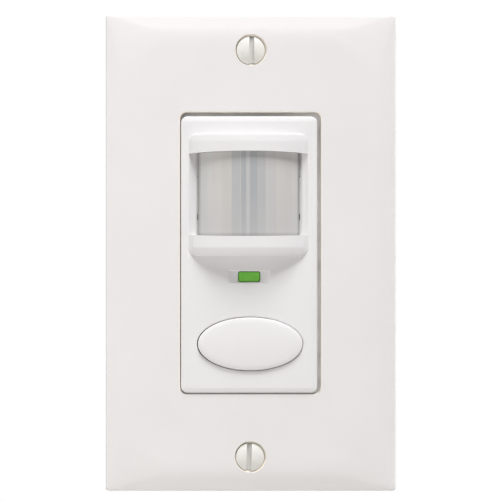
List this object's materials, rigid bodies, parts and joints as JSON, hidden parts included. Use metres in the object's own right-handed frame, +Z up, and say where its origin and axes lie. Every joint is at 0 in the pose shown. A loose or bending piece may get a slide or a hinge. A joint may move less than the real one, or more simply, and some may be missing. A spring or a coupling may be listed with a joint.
{
  "type": "motion sensor light switch",
  "caption": "White wall switch with a hooded infrared motion sensor, green indicator and oval push button in a screwed wall plate, on a steel strap with a rear housing.",
  "frame": {"origin": "on the wall plane, midway between the two box screws, at the back of the mounting strap", "axes": "+X to the right as seen from the room, +Y into the wall, +Z up the wall"},
  "size_m": [0.0698, 0.0414, 0.1142],
  "materials": {
    "plate_white": "satin moulded white thermoplastic",
    "cover_white": "satin moulded white thermoplastic",
    "button_white": "satin moulded white thermoplastic",
    "screw_white": "white painted steel",
    "lens_milky": "milky translucent polyethylene with lens grooves",
    "indicator_green": "tinted green light guide",
    "inner_black": "plain black moulding",
    "strap_steel": "zinc plated sheet steel",
    "screw_steel": "zinc plated steel",
    "ground_green": "green dyed steel",
    "housing_black": "fine grained black thermoplastic",
    "board_green": "green solder mask",
    "board_tan": "bare tan laminate",
    "can_steel": "nickel plated can",
    "filter_dark": "dark infrared filter",
    "ceramic": "cream ceramic",
    "gilt": "gold plated pins",
    "led_resin": "clear resin",
    "soft_iron": "soft iron",
    "bobbin_cream": "cream nylon",
    "copper": "enamelled copper wire",
    "contact_bronze": "bronze with silver contacts",
    "relay_blue": "dark blue moulding",
    "film_yellow": "yellow potted case",
    "sleeve_navy": "shrunk sleeve",
    "varistor_blue": "blue epoxy coat",
    "resistor_green": "flameproof coat",
    "terminal_brass": "plain brass"
  },
  "bodies": {
    "housing": {"wall_plate": "plate_white", "plate_screws": "screw_white", "front_cover": "cover_white", "lens": "lens_milky", "lens_retainer": "inner_black", "light_pipe": "indicator_green", "mounting_strap": "strap_steel", "box_screws": "screw_steel", "ground_screw": "ground_green", "rear_housing": "housing_black", "housing_screws": "screw_steel", "sensor_board": "board_green", "pir_header": "gilt", "pir_element": "ceramic", "pir_can": "can_steel", "pir_window": "filter_dark", "indicator_led": "led_resin", "tact_switch_base": "inner_black", "tact_switch_cover": "can_steel", "control_chip": "inner_black", "chip_leads": "screw_steel", "header_block": "inner_black", "header_pins": "gilt", "power_board": "board_tan", "relay_base": "inner_black", "relay_yoke": "soft_iron", "relay_core": "soft_iron", "relay_bobbin": "bobbin_cream", "relay_winding": "copper", "relay_fixed_contact": "contact_bronze", "relay_cover": "relay_blue", "film_capacitor": "film_yellow", "electrolytic_capacitors": "sleeve_navy", "varistor": "varistor_blue", "rectifier": "inner_black", "fusible_resistor": "resistor_green", "terminal_plates": "terminal_brass", "terminal_clamps": "terminal_brass", "terminal_screws": "terminal_brass"},
    "button": {"push_button": "button_white", "tact_plunger": "inner_black"},
    "relay_armature": {"relay_armature": "soft_iron", "relay_contact_spring": "contact_bronze"}
  },
  "joints": [
    {"name": "button_press", "type": "slide", "parent": "housing", "child": "button", "axis": [0, 1, 0], "range_m": [0, 0.0005], "stiffness_N_per_m": 2000},
    {"name": "relay_pull", "type": "hinge", "parent": "housing", "child": "relay_armature", "pos_m": [-0.00993, 0.0136, 0.0228], "axis": [1, 0, 0], "range_deg": [0, 3.5], "stiffness_Nm_per_rad": 0.05}
  ]
}
